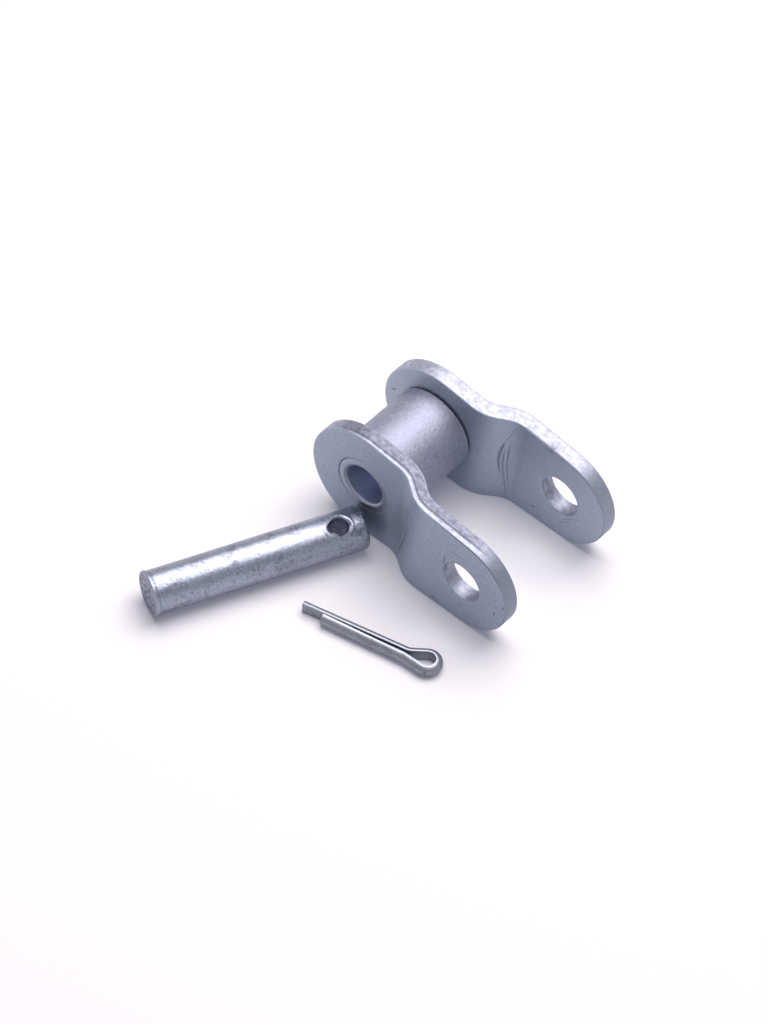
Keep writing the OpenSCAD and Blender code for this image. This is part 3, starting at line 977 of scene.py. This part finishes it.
tip = bent(wire, tip, eye, -(math.pi + LONG_NECK + SHORT_NECK), EYE_STEPS)
tip = straight(wire, tip, run_to_eye(SHORT_NECK) * heading(math.pi - SHORT_NECK))
neck_centre.y = -neck_centre.y
tip = bent(wire, tip, neck_centre, SHORT_NECK - LEG_SPLAY, NECK_STEPS)
tip = straight(wire, tip, (LEG_L - LEG_STEP) * heading(math.pi - LEG_SPLAY))
bmesh.ops.recalc_face_normals(wire, faces=wire.faces)
round_corners(wire, WIRE_EDGE, 3, lambda p: not at_tip(p))
round_corners(wire, TIP_EDGE, 2, at_tip)
rubbed_and_lit = wire.verts.layers.float.new("rubbed_and_lit")
for v in wire.verts:
    # The top of the wire is lighter: partly wear, partly a painted highlight where the soft box shines
    v[rubbed_and_lit] = max(0.0, min(1.0, WEAR_AND_HIGHLIGHT_GAIN * (1 - (COTTER_R - v.co.z) / TOP_WEAR_AND_HIGHLIGHT)))
print(f"bent wire: {len(wire.faces)} faces")

# %% Placing the cotter
cotter_place = (COTTER_X, near_low.y - COTTER_GAP, floor_z + COTTER_R)
bmesh.ops.translate(wire, vec=(NECK_FROM_X, 0, 0), verts=wire.verts)
bmesh.ops.rotate(wire, cent=(0, 0, 0), matrix=Matrix.Rotation(math.radians(cotter_yaw), 3, "Z"),
                 verts=wire.verts)
bmesh.ops.translate(wire, vec=cotter_place, verts=wire.verts)
finish_piece(wire, "cotter_wire_bent", "cotter_pin", "link", cotter_wire)

# %% [markdown]
# ## Floor, world and light
# The link lies on a white table. The floor takes the light and the shadow as a pale matt surface, and
# a low glow, seen only by the camera and by reflections, lifts it to white without lighting the object.
# Away from the link, where the soft box no longer reaches, camera and reflections see plain white.
# One large soft box hangs above and behind the link. The room has white walls and a dimmer ceiling,
# which the steel reflects, and gives a faint violet fill, so the shadows are not grey.

# %% Floor
FLOOR_HALF = 2.0
WHITE_FROM = 0.13
WHITE_AT = 0.3
# Shares of the light, not paint shades: what the table sends back, its glow, and plain white
TABLE_LIGHT = (0.78, 0.79, 0.775, 1)
TABLE_GLOW = (0.08, 0.078, 0.11, 1)
WHITE = (1, 1, 1, 1)


def seen(tree):
    """1 for what the camera sees, directly, in a reflection or through a clear piece."""
    path = add(tree, "ShaderNodeLightPath")
    first = add(tree, "ShaderNodeMath", {
        0: path.outputs["Is Camera Ray"], 1: path.outputs["Is Glossy Ray"]}, operation="MAXIMUM")
    return add(tree, "ShaderNodeMath", {
        0: first.outputs[0], 1: path.outputs["Is Transmission Ray"]}, operation="MAXIMUM").outputs[0]


# Pale and matt, with soft violet-grey shadows
table = bpy.data.materials.new("white_table")
table.use_nodes = True
tree = table.node_tree
tree.nodes.remove(tree.nodes["Principled BSDF"])
matt = add(tree, "ShaderNodeBsdfDiffuse", {"Color": TABLE_LIGHT})
glow = add(tree, "ShaderNodeEmission", {"Color": TABLE_GLOW, "Strength": seen(tree)})
near_by = add(tree, "ShaderNodeAddShader", {0: matt.outputs[0], 1: glow.outputs[0]}).outputs[0]
away = add(tree, "ShaderNodeVectorMath", {
    0: add(tree, "ShaderNodeTexCoord").outputs["Object"]}, operation="LENGTH").outputs["Value"]
far_off = add(tree, "ShaderNodeMapRange", {
    "Value": away, "From Min": WHITE_FROM, "From Max": WHITE_AT}).outputs["Result"]
share = add(tree, "ShaderNodeMath", {0: far_off, 1: seen(tree)}, operation="MULTIPLY").outputs[0]
white = add(tree, "ShaderNodeEmission", {"Color": WHITE}).outputs[0]
both = add(tree, "ShaderNodeMixShader", {0: share, 1: near_by, 2: white})
tree.links.new(both.outputs[0], tree.nodes["Material Output"].inputs["Surface"])
table.cycles.emission_sampling = "NONE"

bm = bmesh.new()
bmesh.ops.create_grid(bm, x_segments=1, y_segments=1, size=FLOOR_HALF)
bmesh.ops.translate(bm, vec=(0, 0, floor_z * MM), verts=bm.verts)
floor_mesh = bpy.data.meshes.new("table_top")
bm.to_mesh(floor_mesh)
bm.free()
floor_mesh.materials.append(table)
floor = bpy.data.objects.new("table_top", floor_mesh)
bpy.context.scene.collection.objects.link(floor)
print("floor at", round(floor_z, 2), "mm")

# %% World and soft box
FILL = (0.26, 0.26, 0.31, 1)
BOX_SIZE = (0.85, 0.80)
BOX_AWAY = 0.8
BOX_TOWARDS = Vector((-0.06, 0.32, 0.94))
BOX_RADIANCE = 3.6
BOX_COLOUR = (1.0, 0.92, 0.93)
CEILING = (0.55, 0.54, 0.58, 1)
WALLS_TO_CEILING = {"From Min": 0.08, "From Max": 0.3}

world = bpy.data.worlds.new("pale_room")
bpy.context.scene.world = world
world.use_nodes = True
tree = world.node_tree
direction = add(tree, "ShaderNodeSeparateXYZ", {
    "Vector": add(tree, "ShaderNodeTexCoord").outputs["Generated"]})
height = add(tree, "ShaderNodeMapRange", {
    "Value": direction.outputs["Z"], **WALLS_TO_CEILING}).outputs["Result"]
room = add(tree, "ShaderNodeMix", {0: height, 6: WHITE, 7: CEILING}, data_type="RGBA").outputs[2]
colour = add(tree, "ShaderNodeMix", {0: seen(tree), 6: FILL, 7: room}, data_type="RGBA")
tree.links.new(colour.outputs[2], tree.nodes["Background"].inputs["Color"])
world.cycles.sampling_method = "NONE"

lamp = bpy.data.lights.new("soft_box", "AREA")
lamp.shape = "RECTANGLE"
lamp.size, lamp.size_y = BOX_SIZE
lamp.color = BOX_COLOUR
# An area lamp's radiance is a quarter of its watts per square metre
lamp.energy = 4 * BOX_RADIANCE * BOX_SIZE[0] * BOX_SIZE[1]
soft_box = bpy.data.objects.new("soft_box", lamp)
bpy.context.scene.collection.objects.link(soft_box)
soft_box.location = BOX_TOWARDS.normalized() * BOX_AWAY
soft_box.rotation_euler = BOX_TOWARDS.to_track_quat("Z", "Y").to_euler()
print(f"soft box of {lamp.energy:.1f} W")

# %% [markdown]
# ## Camera
# The picture was taken from the right and above with a long lens, with the camera rolled by a few
# degrees. The camera looks at a spot on the table in front of the roller.

# %% Camera
CAMERA_AZIMUTH = math.radians(38.85)
CAMERA_ELEVATION = math.radians(50.88)
CAMERA_ROLL = math.radians(3.32)
CAMERA_AWAY = 0.940
CAMERA_TARGET = Vector((0.73, -5.86, -11.2)) * MM
CAMERA_LENS = 189.6

camera = bpy.data.objects.new("camera", bpy.data.cameras.new("camera"))
bpy.context.scene.collection.objects.link(camera)
back = Vector((
    math.sin(CAMERA_AZIMUTH) * math.cos(CAMERA_ELEVATION),
    -math.cos(CAMERA_AZIMUTH) * math.cos(CAMERA_ELEVATION),
    math.sin(CAMERA_ELEVATION)))
camera.location = CAMERA_TARGET + back * CAMERA_AWAY
camera.rotation_mode = "QUATERNION"
camera.rotation_quaternion = (-back).to_track_quat("-Z", "Y") @ Quaternion((0, 0, 1), CAMERA_ROLL)
camera.data.lens = CAMERA_LENS
camera.data.clip_start = 0.01
bpy.context.scene.camera = camera
bpy.context.scene.view_settings.view_transform = "Standard"
print("camera at", [round(c, 3) for c in camera.location])
